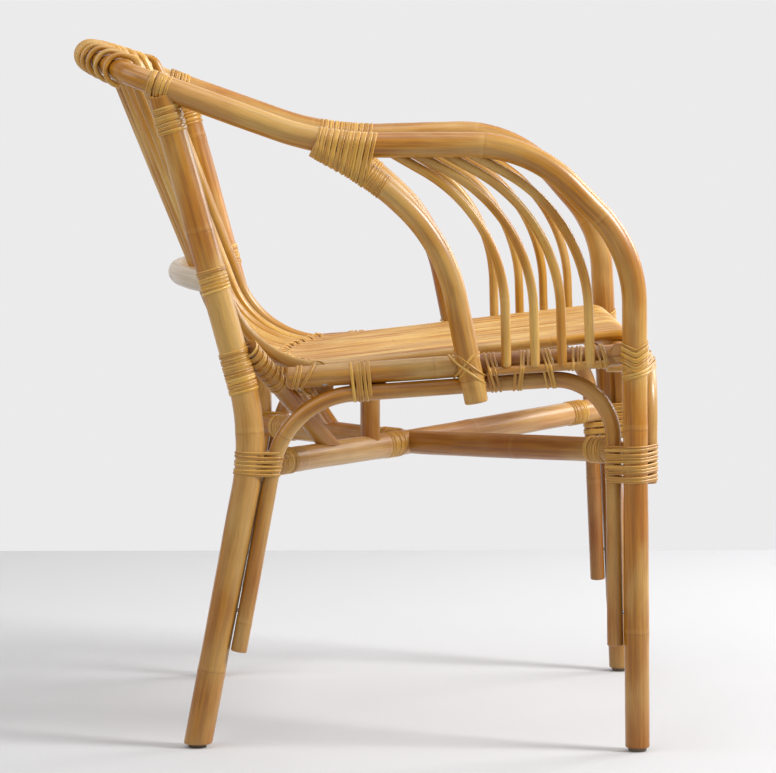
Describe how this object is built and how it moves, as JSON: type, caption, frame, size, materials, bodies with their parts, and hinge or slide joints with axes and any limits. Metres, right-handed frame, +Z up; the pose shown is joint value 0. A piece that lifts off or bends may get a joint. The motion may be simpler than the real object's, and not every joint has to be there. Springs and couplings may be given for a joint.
{
  "type": "rattan armchair",
  "caption": "Dining armchair of bent rattan poles: looped arms, a curved back of wrapped slats, and cane-bound joints.",
  "frame": {"origin": "middle of the chair's box, on the floor between the feet", "axes": "+X to the front of the chair, +Y to the sitter's left, +Z up"},
  "size_m": [0.6561, 0.5764, 0.768],
  "materials": {
    "poles": "satin lacquered rattan pole",
    "slats": "satin lacquered rattan core",
    "cane": "split rattan peel, satin",
    "dowel": "plain hardwood",
    "screw": "plain steel",
    "glide": "dull"
  },
  "bodies": {
    "root": {"arm_support_bindings": "cane", "brace_bindings": "cane", "crossing_bindings": "cane", "foot_glides": "glide", "frame_screws": "screw", "front_arch": "poles", "front_leg_bindings": "cane", "front_seat_bindings": "cane", "front_seat_rail": "poles", "joint_dowels": "dowel", "knee_bindings": "cane", "left_arm_pole": "poles", "left_arm_support": "poles", "left_knee_brace": "poles", "left_rear_leg": "poles", "left_rear_stretcher": "poles", "left_seat_peg": "poles", "left_seat_rail": "poles", "left_side_arch": "poles", "left_spindle_lath": "slats", "left_spindles": "slats", "mid_back_rail": "poles", "mid_rail_bindings": "cane", "middle_seat_rail": "poles", "rail_arch_bindings": "cane", "rear_leg_bindings": "cane", "rear_seat_rail": "poles", "right_arm_pole": "poles", "right_arm_support": "poles", "right_knee_brace": "poles", "right_rear_leg": "poles", "right_rear_stretcher": "poles", "right_seat_peg": "poles", "right_seat_rail": "poles", "right_side_arch": "poles", "right_spindle_lath": "slats", "right_spindles": "slats", "seat_corner_bindings": "cane", "slat_01": "slats", "slat_02": "slats", "slat_03": "slats", "slat_04": "slats", "slat_05": "slats", "slat_06": "slats", "slat_07": "slats", "slat_08": "slats", "slat_09": "slats", "slat_10": "slats", "slat_11": "slats", "slat_12": "slats", "slat_13": "slats", "slat_14": "slats", "slat_15": "slats", "spindle_bindings": "cane", "stretcher_end_bindings": "cane", "support_foot_bindings": "cane", "top_corner_bindings": "cane", "top_rail": "poles"}
  },
  "joints": []
}
